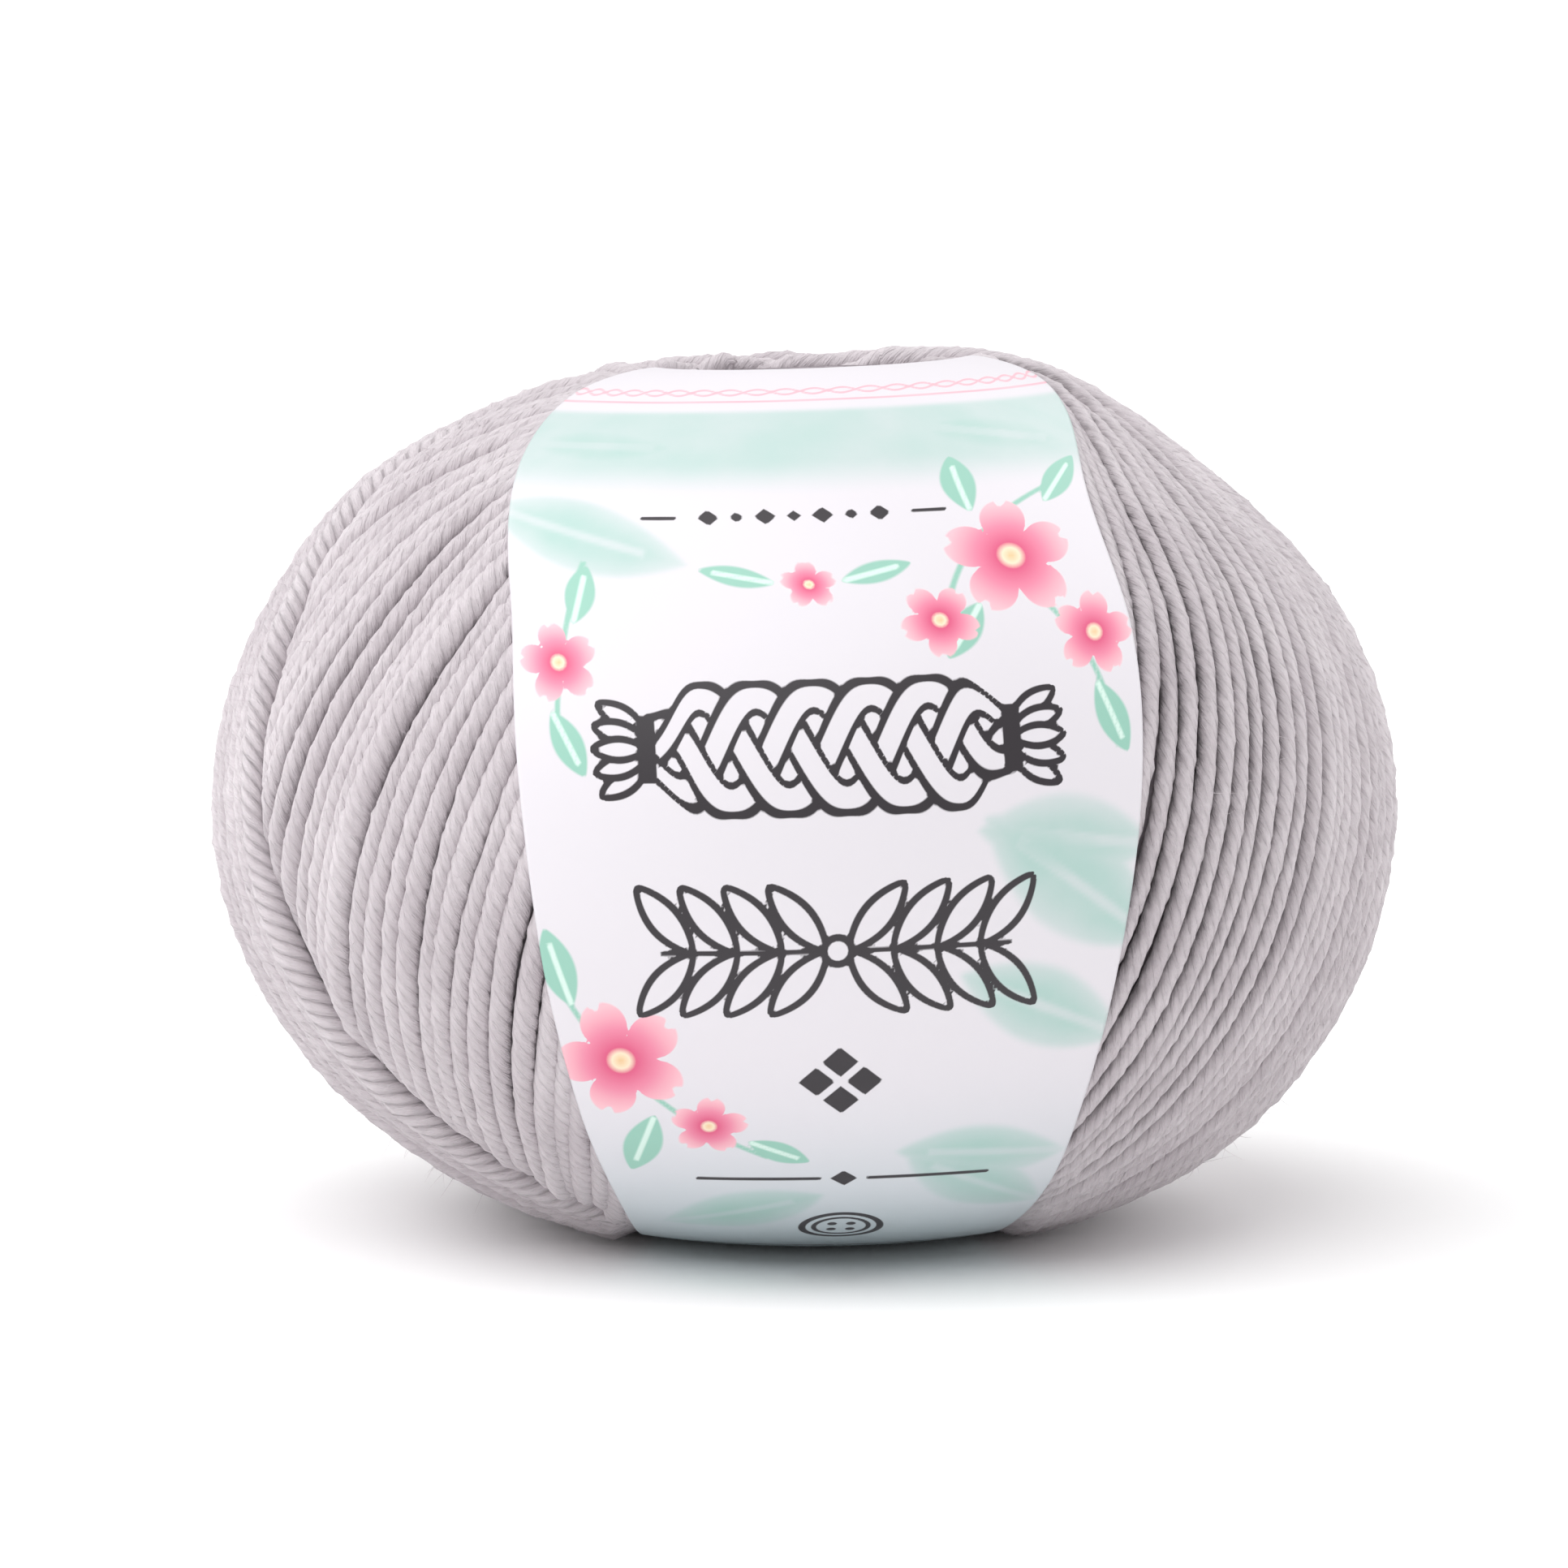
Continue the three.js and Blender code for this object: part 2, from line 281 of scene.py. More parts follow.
# ---- The outer turns of yarn ----
# Plied wool about 2 mm thick, wound by machine. Each turn is a tilted loop that grazes the hole's rim at
# the top and at the bottom, and the next is laid a little further round. One half of a turn rises to the
# right and the other falls, and where two halves cross, the later loop lies on top.
LOOPS, LAST_LOOP = 146, math.radians(-65)
TURN_RADIUS = 14.6  # a loop's least distance from the axis
HALF_LOOP = 58.0  # length of a loop from the widest level to a rim
PATH_SAMPLES = 400


def quarter_turn(side):
    """A loop's way from the widest level to where it grazes the rim, as its travel from 0 to 1, the place
    along the section and the angle gone round the axis. Taut yarn turns by c / (r sqrt(r^2 - c^2)) for each
    millimetre, where r is the distance from the axis and c the least one, and the sum is scaled to a
    quarter turn."""
    places = np.linspace(1, 1 + side, 10 * PATH_SAMPLES)
    reach = places[np.argmax(half_section(places)[0] <= TURN_RADIUS)] - 1
    edges = np.linspace(0, np.pi / 2, PATH_SAMPLES + 1)
    radius, level = half_section(1 + reach * np.sin(edges))
    length = np.hypot(np.diff(radius), np.diff(level))
    middle = half_section(1 + reach * np.sin((edges[1:] + edges[:-1]) / 2))[0]
    turned = TURN_RADIUS * length / (middle * np.sqrt(np.maximum(middle ** 2 - TURN_RADIUS ** 2, 1)))
    gone = np.concatenate([[0], np.cumsum(turned)])
    return edges * 2 / np.pi, 1 + reach * np.sin(edges), gone / gone[-1] * np.pi / 2


UP_TRAVEL, UP_ALONG, UP_TURNED = quarter_turn(1)
DOWN_TRAVEL, DOWN_ALONG, DOWN_TURNED = quarter_turn(-1)


def loop_path(travel):
    """Place along the section and angle gone round the axis, for travel from -1 at the bottom rim through 0
    at the widest level to 1 at the top rim. Past a rim the loop comes back as its own mirror image."""
    folded = np.where(np.abs(travel) > 1, np.sign(travel) * 2 - travel, travel)
    up, down = np.interp(folded, UP_TRAVEL, UP_ALONG), np.interp(-folded, DOWN_TRAVEL, DOWN_ALONG)
    along = np.where(folded > 0, up, down)
    up, down = np.interp(folded, UP_TRAVEL, UP_TURNED), np.interp(-folded, DOWN_TRAVEL, DOWN_TURNED)
    turned = np.where(folded > 0, up, -down)
    return along, np.where(np.abs(travel) > 1, np.sign(travel) * np.pi - turned, turned)


def travel_at(turned):
    """The travel at which a loop has gone this far round the axis from the widest level."""
    up, down = np.interp(turned, UP_TURNED, UP_TRAVEL), np.interp(-turned, DOWN_TURNED, DOWN_TRAVEL)
    return np.where(turned > 0, up, -down)


END_TRAVEL, HIDDEN_TRAVEL = 1.16, 0.09
STRAND_STEP, FEWEST_RINGS = 0.7, 12
DIAGONAL = 1.12  # how much longer than HALF_LOOP the slanting way is
NEWEST_FADE = 0.8  # in loops
GOLDEN_SHARE = 0.618034  # puts neighbouring loops in layers far apart
OPEN_RADII = (16, 32)  # the turns crowd inside the first and lie side by side outside the second


def strand_rings(side, age):
    """The rings along the strands of these ages, as arrays with one value a ring, and as counts the number
    of rings on each strand. The newest loop covers a strand until it has gone half its age less a quarter
    turn round the axis, so a strand starts just before that, and it ends just past the rim."""
    angle_age = age * 2 * np.pi / LOOPS
    uncovered = side * travel_at(side * np.clip((angle_age - np.pi) / 2, -np.pi / 2, np.pi / 2))
    start = np.maximum(uncovered - HIDDEN_TRAVEL, -END_TRAVEL)
    counts = np.ceil((END_TRAVEL - start) * HALF_LOOP * DIAGONAL / STRAND_STEP).astype(int)
    counts = np.maximum(FEWEST_RINGS, counts)
    strand = np.repeat(np.arange(len(age)), counts)
    step = np.arange(counts.sum()) - (np.cumsum(counts) - counts)[strand]
    travel = start[strand] + (END_TRAVEL - start)[strand] * step / (counts[strand] - 1)
    along, turned = loop_path(side * travel)
    radius, loop = half_section(along)[0], age[strand].astype(float)
    return SimpleNamespace(
        counts=counts, strand=strand, step=step, loop=loop, angle_age=angle_age[strand], travel=travel,
        travelled=(travel - start[strand]) * HALF_LOOP, left=(END_TRAVEL - travel) * HALF_LOOP,
        along=along, turned=side * turned, radius=radius, open_part=smoothstep(radius, *OPEN_RADII),
        newest=np.exp(-loop / NEWEST_FADE), layer=np.mod(loop * GOLDEN_SHARE, 1))


SHARED_WANDER, OWN_WANDER, OWN_SHIFT = 0.17, 0.17, 0.12
WANDER_AT_RIM = 0.25  # share of the wandering that is left where the loops crowd


def wandering(rng, ring):
    """How far aside each ring lies: five sines over the loop's age and its travel, which neighbours share,
    with a sine and a shift of the strand's own, and nothing for the newest loop."""
    count, shared = len(ring.counts), 0
    for _ in range(5):
        loops_apart = rng.uniform(5, 12) * rng.choice([-1, 1])
        slant, start = rng.uniform(-0.9, 0.9), rng.uniform()
        shared = shared + np.sin(2 * np.pi * (ring.loop / loops_apart + slant * ring.travel + start))
    own = np.sin(ring.travel * HALF_LOOP / rng.uniform(5, 13, count)[ring.strand]
                 + rng.uniform(0, 6, count)[ring.strand])
    aside = SHARED_WANDER * shared + OWN_WANDER * own + rng.normal(0, OWN_SHIFT, count)[ring.strand]
    return aside * (WANDER_AT_RIM + (1 - WANDER_AT_RIM) * ring.open_part) * (1 - ring.newest)


STRAND_RADIUS, STRAND_SPREAD, NEWEST_EXTRA = 1.04, 0.085, 0.36
SLUB_LENGTH, SLUB_SPREAD = 5.0, 0.13
SWELL_PITCHES, SWELLING = (4.3, 1.7), 0.045  # two waves along a strand, and their share of its radius


def thickness(rng, ring):
    """The strand's radius at each ring: the mean radius times the strand's own share, two sines along it
    and a slub in the form of a bell curve."""
    count = len(ring.counts)
    slub_at = rng.uniform(-1, 1, count)[ring.strand]
    slub_size = rng.normal(0, SLUB_SPREAD, count)[ring.strand]
    slub = slub_size * np.exp(-((ring.travel - slub_at) * HALF_LOOP / SLUB_LENGTH) ** 2)
    thick = STRAND_RADIUS * (1 + NEWEST_EXTRA * ring.newest)
    thick *= rng.normal(1, STRAND_SPREAD, count)[ring.strand]
    for mean_pitch in SWELL_PITCHES:
        pitch = mean_pitch * rng.uniform(0.7, 1.4, count)[ring.strand]
        thick *= 1 + SWELLING * np.sin(ring.travel * HALF_LOOP / pitch + 9 * ring.layer)
    return thick * (1 + slub)


STACK_RISE, STACK_DEPTH = 1.3, 2.6
NEWEST_RAISED, UNEVEN_DEPTH = 0.5, 0.4
LAY_RIDGES, RIDGE_DEPTH = 24, 0.3
DIVE_START, DIVE_END, DIVE_DEPTH, DIVE_AT_RIM = 3.0, 10.5, 2.4, 0.3
END_LENGTH, END_DEPTH = 9.0, 3.0


def laid_depth(rng, ring):
    """How much deeper than its seat each ring lies: the stack of layers where loops crowd, by the turns'
    spacing sqrt(r^2 - c^2) times the angle between them, with a random depth for each strand, a cosine for
    each ridge of the winding, and the dive under the newest loop and over the rim."""
    spacing = 2 * np.pi / LOOPS * np.sqrt(np.maximum(ring.radius ** 2 - TURN_RADIUS ** 2, 16))
    crowding = np.maximum(2 * STRAND_RADIUS / spacing, 1)
    sunk = np.minimum(STACK_DEPTH, (crowding - 1) * STACK_RISE * (1 - ring.layer))
    sunk -= NEWEST_RAISED * ring.newest * ring.open_part
    sunk += rng.uniform(0, UNEVEN_DEPTH, len(ring.counts))[ring.strand] * ring.open_part
    sunk += RIDGE_DEPTH * (0.5 - 0.5 * np.cos(LAY_RIDGES * ring.angle_age)) * ring.open_part
    covered = (ring.loop > 0) * DIVE_DEPTH * (1 - smoothstep(ring.travelled, DIVE_START, DIVE_END))
    covered *= DIVE_AT_RIM + (1 - DIVE_AT_RIM) * ring.open_part
    return sunk + covered + END_DEPTH * (1 - smoothstep(ring.left, 0, END_LENGTH))


PLIES, PLY_LEAD, PLY_DEPTH, PLY_EVENED = 5, 6.8, 0.085, 0.3
AROUND_STRAND = np.arange(2 * PLIES) / (2 * PLIES) * 2 * np.pi
LUMPS = 0.045
ROUNDED_RINGS = 3.0  # rings over which a strand's ends close


def plied_tube(rng, ring, centre, outward, thick, room):
    """The points of the tubes, with the angle of each from the outward side, its furrow and its ring's
    length along the strand. The section is a ring of two spots a ply, the second of them the furrow, which
    turns once round in each lead. Outwards it is cut off flat at its room, where something presses on it."""
    first = (np.cumsum(ring.counts) - ring.counts)[ring.strand]
    last = (np.cumsum(ring.counts) - 1)[ring.strand]
    number = np.arange(len(first))
    course = centre[np.minimum(number + 1, last)] - centre[np.maximum(number - 1, first)]
    course /= np.linalg.norm(course, axis=1, keepdims=True)
    outward = outward - course * np.sum(course * outward, axis=1, keepdims=True)
    outward /= np.linalg.norm(outward, axis=1, keepdims=True)
    across = np.cross(course, outward)
    gone = np.concatenate([[0], np.cumsum(np.linalg.norm(np.diff(centre, axis=0), axis=1))])
    length = gone - gone[first]
    twist = rng.uniform(0, 6, len(ring.counts))[ring.strand] - 2 * np.pi * length / PLY_LEAD
    angle = AROUND_STRAND[None, :] + twist[:, None]
    closing = np.sqrt(np.clip(np.minimum(ring.step, last - number) / ROUNDED_RINGS, 0.01, 1))
    furrow = (1 - PLY_EVENED + PLY_EVENED * ring.newest)[:, None] * (np.arange(2 * PLIES) % 2)[None, :]
    size = (thick * closing)[:, None] * (1 - PLY_DEPTH * furrow) * rng.normal(1, LUMPS, furrow.shape)
    lift = np.minimum(size * np.cos(angle), room[:, None])
    points = (centre[:, None, :] + lift[..., None] * outward[:, None, :]
              + (size * np.sin(angle))[..., None] * across[:, None, :])
    return points.reshape(-1, 3), angle, furrow, length


def tube_faces(counts, spots):
    """Corner numbers of the quads along tubes with these numbers of rings, which follow one another, and of
    the caps that close each tube's two ends."""
    last = np.cumsum(counts) - 1
    ring, spot = np.meshgrid(np.setdiff1d(np.arange(counts.sum()), last), np.arange(spots), indexing="ij")
    here, following, beside = ring * spots, (ring + 1) * spots, (spot + 1) % spots
    sides = [here + spot, here + beside, following + beside, following + spot]
    start_caps = (last + 1 - counts)[:, None] * spots + np.arange(spots)[::-1]
    end_caps = last[:, None] * spots + np.arange(spots)
    return [np.stack(sides, axis=-1).reshape(-1, 4), np.concatenate([start_caps, end_caps])]


# age in degrees, and how well a strand of that age fills its room
FULLNESS = [(0, 1.12), (30, 1.08), (48, 1.02), (62, 0.92), (75, 0.87), (100, 0.89), (130, 1.02), (165, 1.1),
            (205, 1.16), (360, 1.05)]
# how loose the turns are at full painted shade between them, and the share of that shade where they lie snug
LOOSEST, SNUG_SHADE = 0.12, 0.04
SEATED = 0.62  # depth of a strand's middle under the ball's surface, in its own radii
TABLE_ROOM = 1.16  # least height of a strand's middle over the table, in its own radii
UNDER_BAND, BAND_SQUEEZE, FREE_ROOM = 0.15, 0.1, 2.4
FIBRE_LENGTH, STRANDS_APART = 3.0, 9.7


def laid_yarn(name, side, first, last):
    """One family of half loops as closed plied tubes. side is +1 for the rising halves and -1 for the
    falling ones, which are the rising ones upside down, and first to last are the loops' ages, counted back
    from the newest. Under the label the strands lie evenly, swell a little and are pressed flat. Each point
    also gets its place for the pattern of fibres, its ply's furrow, a tone for its strand and how much
    painted shade its side gets, down between loose turns."""
    rng = np.random.default_rng(500 + 7 * side + first)
    ring = strand_rings(side, np.arange(first, last))
    azimuth = LAST_LOOP + (np.pi if side > 0 else 0) - ring.angle_age + ring.turned
    azimuth += wandering(rng, ring) / ring.radius
    pressed = band_press(azimuth, ring.along)
    beside_band = 1 - (1 - UNDER_BAND) * np.minimum(1, pressed / BAND_PRESS)
    fullness = between(FULLNESS, np.degrees(ring.angle_age))
    thick = thickness(rng, ring) * fullness * (1 + BAND_SQUEEZE * (1 - beside_band))
    sunk = SEATED * thick + laid_depth(rng, ring) * beside_band
    centre = on_ball(azimuth, ring.along, -sunk - pressed)
    outward = on_ball(azimuth, ring.along, 0.5 - sunk - pressed) - centre
    centre[..., 2] = np.maximum(centre[..., 2], TABLE_ROOM * thick)
    room = sunk + FREE_ROOM * (beside_band - UNDER_BAND)
    points, angle, furrow, length = plied_tube(rng, ring, centre, outward, thick, room)

    spots = len(AROUND_STRAND)
    round_place = np.tile([np.cos(AROUND_STRAND), np.sin(AROUND_STRAND)], len(length))
    length_place = np.repeat(length / FIBRE_LENGTH + STRANDS_APART * ring.loop, spots)
    # painted shade on each strand's sides, where it goes down between the turns, deeper where they lie
    # loosely
    looseness = np.repeat(np.maximum(0, 1 - fullness) / LOOSEST, spots)
    shade_between_turns = smoothstep(1 - np.cos(angle).ravel(), 0.02, 0.8)
    shade_between_turns *= SNUG_SHADE + (1 - SNUG_SHADE) * looseness
    own_tone = np.repeat(rng.uniform(0, 1, len(ring.counts))[ring.strand], spots)
    values = {"fibre_place": np.stack([*round_place, length_place], axis=-1), "furrow": furrow.ravel(),
              "shade_between_turns": shade_between_turns, "own_tone": own_tone}
    return mesh_piece(name, points, tube_faces(ring.counts, spots), values)


def mixed(tree, share, under, over):
    """The second colour laid over the first one by this share."""
    return add_node(tree, "Mix", {0: share, 6: under, 7: over}, data_type="RGBA").outputs[2]


def ranged(tree, value, start, end, low, high):
    """The value moved in a straight line from start and end to low and high, and held at both ends."""
    ends = {"Value": value, "From Min": start, "From Max": end, "To Min": low, "To Max": high}
    return add_node(tree, "MapRange", ends).outputs["Result"]


WOOL_SHADES = [(0.25, (0.585, 0.526, 0.558)), (0.75, (0.70, 0.642, 0.672))]
# painted shade: the plies' furrows are darkened towards the first of these colours, and the strands' sides
# between the turns towards the second
FURROW_SHADE, SHELTERED_SHADE = (0.45, 0.40, 0.425, 1), (0.25, 0.22, 0.235, 1)
STRAND_TONE, FIBRE_TONE, MIDDLE_TONE = 0.25, 0.4, -0.32
FURROW_SHARPNESS, FURROW_SHADE_SHARE, FURROW_RELIEF = 2.5, 0.6, -1.2
wool, tree, shader = new_material("plied_wool", 0.92, 0.2)
shader.inputs["Sheen Weight"].default_value = 0.3
shader.inputs["Sheen Roughness"].default_value = 0.5
place = object_place(tree)
fibre_place = add_node(tree, "Attribute", {}, attribute_name="fibre_place")
fibres = noise(tree, fibre_place.outputs["Vector"], 6.0, 4.0)
tone = maths(tree, "MULTIPLY_ADD", own_value(tree, "own_tone"), STRAND_TONE, MIDDLE_TONE)
tone = maths(tree, "ADD", tone, noise(tree, place, 110.0, 3.0))
tone = maths(tree, "MULTIPLY_ADD", fibres, FIBRE_TONE, tone)
# painted shade in the plies' furrows, strongest at their deepest, which also sink in the bump
valley = maths(tree, "POWER", own_value(tree, "furrow"), FURROW_SHARPNESS)
shade = maths(tree, "MULTIPLY", valley, FURROW_SHADE_SHARE)
plied = mixed(tree, shade, colour_ramp(tree, tone, WOOL_SHADES), FURROW_SHADE)
# painted shade on the strands' sides between the turns, mottled by a noise
shade_mottle = ranged(tree, noise(tree, place, 520.0, 3.0), 0.38, 0.62, 0.35, 1.0)
shelter = maths(tree, "MULTIPLY", own_value(tree, "shade_between_turns"), shade_mottle)
relief = maths(tree, "MULTIPLY_ADD", valley, FURROW_RELIEF, fibres)
bump = add_node(tree, "Bump", {"Height": relief, "Strength": 0.9, "Distance": 0.00028})
tree.links.new(mixed(tree, shelter, plied, SHELTERED_SHADE), shader.inputs["Base Color"])
tree.links.new(bump.outputs["Normal"], shader.inputs["Normal"])

PARTS = [(0, 30), (30, 66), (66, LOOPS)]  # the ages of the loops in one piece
turns_of_yarn = []
for family, side in (("rising", 1), ("falling", -1)):
    for part, (first, last) in enumerate(PARTS, 1):
        turns = laid_yarn(f"{family}_turns_{part}", side, first, last)
        turns.data.materials.append(wool)
        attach(turns, "root")
        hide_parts("yarn_ball")
        turns_of_yarn.append(turns)

# ---- The loose fibres ----
# Single wool fibres that have worked out of the plies and stand off the ball as a fine halo. Each is a thin
# tapered hair that curls over as it leaves the yarn.
FIBRES, FIBRE_RINGS, FIBRE_SIDES = 1200, 6, 3
FIBRE_RADIUS, FIBRE_TAPER, FIBRE_REACH = 0.022, 0.8, (0.8, 2.6)
FIBRE_LEAN, FIBRE_CURL, LEAST_OUTWARD = 0.9, 0.28, 0.3
ROOTED, FIBRE_FLOOR = 0.06, 0.2
CLEAR_OF_BAND, BEHIND_BAND, CLEAR_OF_TABLE = 29, 16, 4
OUTER_SIDE = 0.93  # least cosine between a root's normal and the way out of the ball
rng = np.random.default_rng(77)

roots, root_normals = [], []
for turns in turns_of_yarn:
    places, normals = (np.empty(3 * len(turns.data.vertices), np.float32) for _ in range(2))
    turns.data.vertices.foreach_get("co", places)
    turns.data.vertices.foreach_get("normal", normals)
    roots.append(places.reshape(-1, 3) / MM)
    root_normals.append(normals.reshape(-1, 3))
roots, root_normals = np.concatenate(roots), np.concatenate(root_normals)
away_from_middle = roots - np.array([0, BALL_SET_BACK, WIDEST_LEVEL])
away_from_middle /= np.linalg.norm(away_from_middle, axis=1, keepdims=True)
clear_of_band = (np.abs(roots[:, 0] - BAND_CENTRE_X) > CLEAR_OF_BAND) | (roots[:, 1] > BEHIND_BAND)
facing_out = np.sum(root_normals * away_from_middle, axis=1) > OUTER_SIDE
usable = np.flatnonzero(facing_out & clear_of_band & (roots[:, 2] > CLEAR_OF_TABLE))
chosen = rng.choice(usable, FIBRES, replace=False)
lean = rng.normal(0, 1, (FIBRES, 3))
curl = rng.normal(0, 1, (FIBRES, 3))
reach = rng.uniform(*FIBRE_REACH, FIBRES)[:, None, None]
t = np.linspace(0, 1, FIBRE_RINGS)[None, :, None]
way_out = away_from_middle[chosen]
heading = way_out + FIBRE_LEAN * lean
heading /= np.linalg.norm(heading, axis=1, keepdims=True)
heading += way_out * np.maximum(0, LEAST_OUTWARD - np.sum(heading * way_out, axis=1))[:, None]
hair = roots[chosen][:, None, :] + reach * (t - ROOTED) * heading[:, None, :]
hair += FIBRE_CURL * reach * t ** 2 * curl[:, None, :]
hair[..., 2] = np.maximum(hair[..., 2], FIBRE_FLOOR)
hair_across = np.cross(heading, curl)
hair_across /= np.linalg.norm(hair_across, axis=1, keepdims=True)
hair_beside = np.cross(heading, hair_across)
hair_beside /= np.linalg.norm(hair_beside, axis=1, keepdims=True)
turn = np.arange(FIBRE_SIDES) / FIBRE_SIDES * 2 * np.pi
taper = FIBRE_RADIUS * (1 - FIBRE_TAPER * t[..., None])
cosine, sine = np.cos(turn)[:, None], np.sin(turn)[:, None]
hair_points = (hair[:, :, None, :] + taper * cosine * hair_across[:, None, None, :]
               + taper * sine * hair_beside[:, None, None, :])
hair_faces = tube_faces(np.full(FIBRES, FIBRE_RINGS), FIBRE_SIDES)

loose_wool, tree, shader = new_material("loose_wool", 0.8, 0.2)
loose_colour = colour_ramp(tree, noise(tree, object_place(tree), 110.0, 2.0), WOOL_SHADES)
tree.links.new(loose_colour, shader.inputs["Base Color"])
fibres_piece = mesh_piece("loose_fibres", hair_points.reshape(-1, 3), hair_faces, {})
fibres_piece.data.materials.append(loose_wool)
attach(fibres_piece, "root")

# ---- The paper label band ----
# One strip of thin coated paper, printed on its outer face and die cut narrower towards its ends. It lies
# taut over the front of the ball, and both ends pass into the centre hole, where they are glued together.
PAPER_THICKNESS, PAPER_GAP = 0.25, 0.15
PRINTED_ROWS, HOLE_ROWS, PRINT_END = 395, 40, 2.05
OUTER_COLUMNS, INNER_COLUMNS = 175, 20
PRINT_SLOPE = math.radians(1.6)  # the band was put on a little askew
NO_PRINT = 9.0  # a distance outside every shape

band_along = np.concatenate([np.linspace(0, PRINT_END, PRINTED_ROWS, endpoint=False),
                             np.linspace(PRINT_END, 4, HOLE_ROWS, endpoint=False)])
band_share = np.concatenate([np.linspace(-1, 1, OUTER_COLUMNS), np.linspace(1, -1, INNER_COLUMNS)])[None, :]
outer_face = (np.arange(band_share.size) < OUTER_COLUMNS)[None, :]
along_grid = band_along[:, None] + 0 * band_share
half_width = between(BAND_HALF_WIDTHS, along_grid)
band_azimuth = band_centre(along_grid) + half_width / half_section(along_grid)[0] * band_share
band_lift = PAPER_GAP + PAPER_THICKNESS * outer_face - between(BAND_PRESSES, along_grid)
band_points = on_ball(band_azimuth, along_grid, band_lift)

# The strip laid flat, in millimetres along the print: u to the right, and v up from the widest level
middle_line = np.stack(half_section(np.append(band_along, 4)), axis=-1)
line_steps = np.linalg.norm(np.diff(middle_line, axis=0), axis=1)
up_strip = np.concatenate([[0], np.cumsum(line_steps)])[:-1]
v_flat = (up_strip - np.interp(1, band_along, up_strip))[:, None] + 0 * band_share
u_flat = half_width * band_share
u = u_flat * math.cos(PRINT_SLOPE) + v_flat * math.sin(PRINT_SLOPE)
v = v_flat * math.cos(PRINT_SLOPE) - u_flat * math.sin(PRINT_SLOPE)


def blossom(spot, radius, turned):
    """A five-petalled flower round a spot: the distance outside its outline, which is a radius that swings
    with the angle and dips at each petal's tip, and how far out a place is as a share of the radius."""
    away, angle = np.hypot(u - spot[0], v - spot[1]), np.arctan2(v - spot[1], u - spot[0]) - turned
    petal = np.abs(np.cos(2.5 * angle))
    outline = radius * (0.42 + 0.62 * petal ** 0.5 - 0.12 * smoothstep(petal, 0.97, 1))
    return away - outline, away / radius


def leaf(spot, heading, length, half):
    """The distance outside a pointed leaf, whose half width is a power of a sine, and outside its vein."""
    du, dv = u - spot[0], v - spot[1]
    along_leaf = du * math.cos(heading) + dv * math.sin(heading)
    across_leaf = np.abs(dv * math.cos(heading) - du * math.sin(heading))
    beyond = np.maximum(0, np.abs(along_leaf - length / 2) - length / 2)
    outline = half * np.sin(np.pi * np.clip(along_leaf / length, 0, 1)) ** 0.8
    vein = np.maximum(across_leaf, np.abs(along_leaf - 0.42 * length) - 0.36 * length)
    return across_leaf - outline + 2 * beyond, vein


def bowed_line(start, end, bow, half):
    """The distance outside a pen line that bows off its straight chord as a parabola."""
    run, rise = end[0] - start[0], end[1] - start[1]
    chord = math.hypot(run, rise)
    t = ((u - start[0]) * run + (v - start[1]) * rise) / chord ** 2
    off = ((v - start[1]) * run - (u - start[0]) * rise) / chord - 4 * bow * t * (1 - t)
    slope = 4 * bow * (1 - 2 * np.clip(t, 0, 1)) / chord
    return np.maximum(np.abs(off) / np.sqrt(1 + slope ** 2) - half, (np.abs(t - 0.5) - 0.5) * chord)


def drawn_over(ink, outside, pen):
    """The ink with one more shape over it, whose inside wipes the ink out and whose outline is inked."""
    return np.minimum(np.maximum(ink, -outside), np.abs(outside) - pen)


PEN, FINE_PEN = 0.3, 0.21
PLAIT = {"level": 10.4, "half_length": 14.6, "height": 4.1, "wave": 13.6, "half": 1.15}
TASSEL = {"length": 4.6, "half": 0.85, "spread": 0.52}
GARLAND = {"level": -5.8, "pitch": 3.5, "leaves": 4, "length": 7.0, "half": 1.2, "spread": math.radians(50)}


def plait(level, half_length, height, wave, half):
    """A plait of three strands in outline. Each is a sine wave, a third of a wave after the last, and lies
    over or under the others by a sine of twice its phase. The waves narrow by half towards the ties at the
    ends, and past each tie the ends spread as five narrow leaves."""
    close = 1 - 0.55 * smoothstep(np.abs(u), half_length - 4.5, half_length)
    swing = height * close
    phases = [2 * np.pi * (u / wave + third / 3) for third in range(3)]
    away = np.stack([np.abs(v - level - swing * np.sin(phase))
                     / np.sqrt(1 + (2 * np.pi / wave * swing * np.cos(phase)) ** 2) for phase in phases])
    order = np.argsort(np.stack([np.sin(2 * phase) for phase in phases]), axis=0)
    ink = np.full(u.shape, NO_PRINT)
    for rank in range(3):
        off_middle = np.take_along_axis(away, order[rank:rank + 1], axis=0)[0]
        ink = drawn_over(ink, off_middle - half * (0.4 + 0.6 * close), PEN)
    ink = np.maximum(ink, np.abs(u) - half_length)
    for way in (0, math.pi):
        for turned in (-2, 2, -1, 1, 0):
            root = (math.cos(way) * half_length, level + 0.75 * turned * math.cos(way))
            outside = leaf(root, way + TASSEL["spread"] * turned * 0.5, TASSEL["length"], TASSEL["half"])[0]
            ink = drawn_over(ink, outside, PEN)
    tie = np.maximum(np.abs(np.abs(u) - half_length) - 0.75, np.abs(v - level) - 2.7)
    return np.minimum(ink, tie)


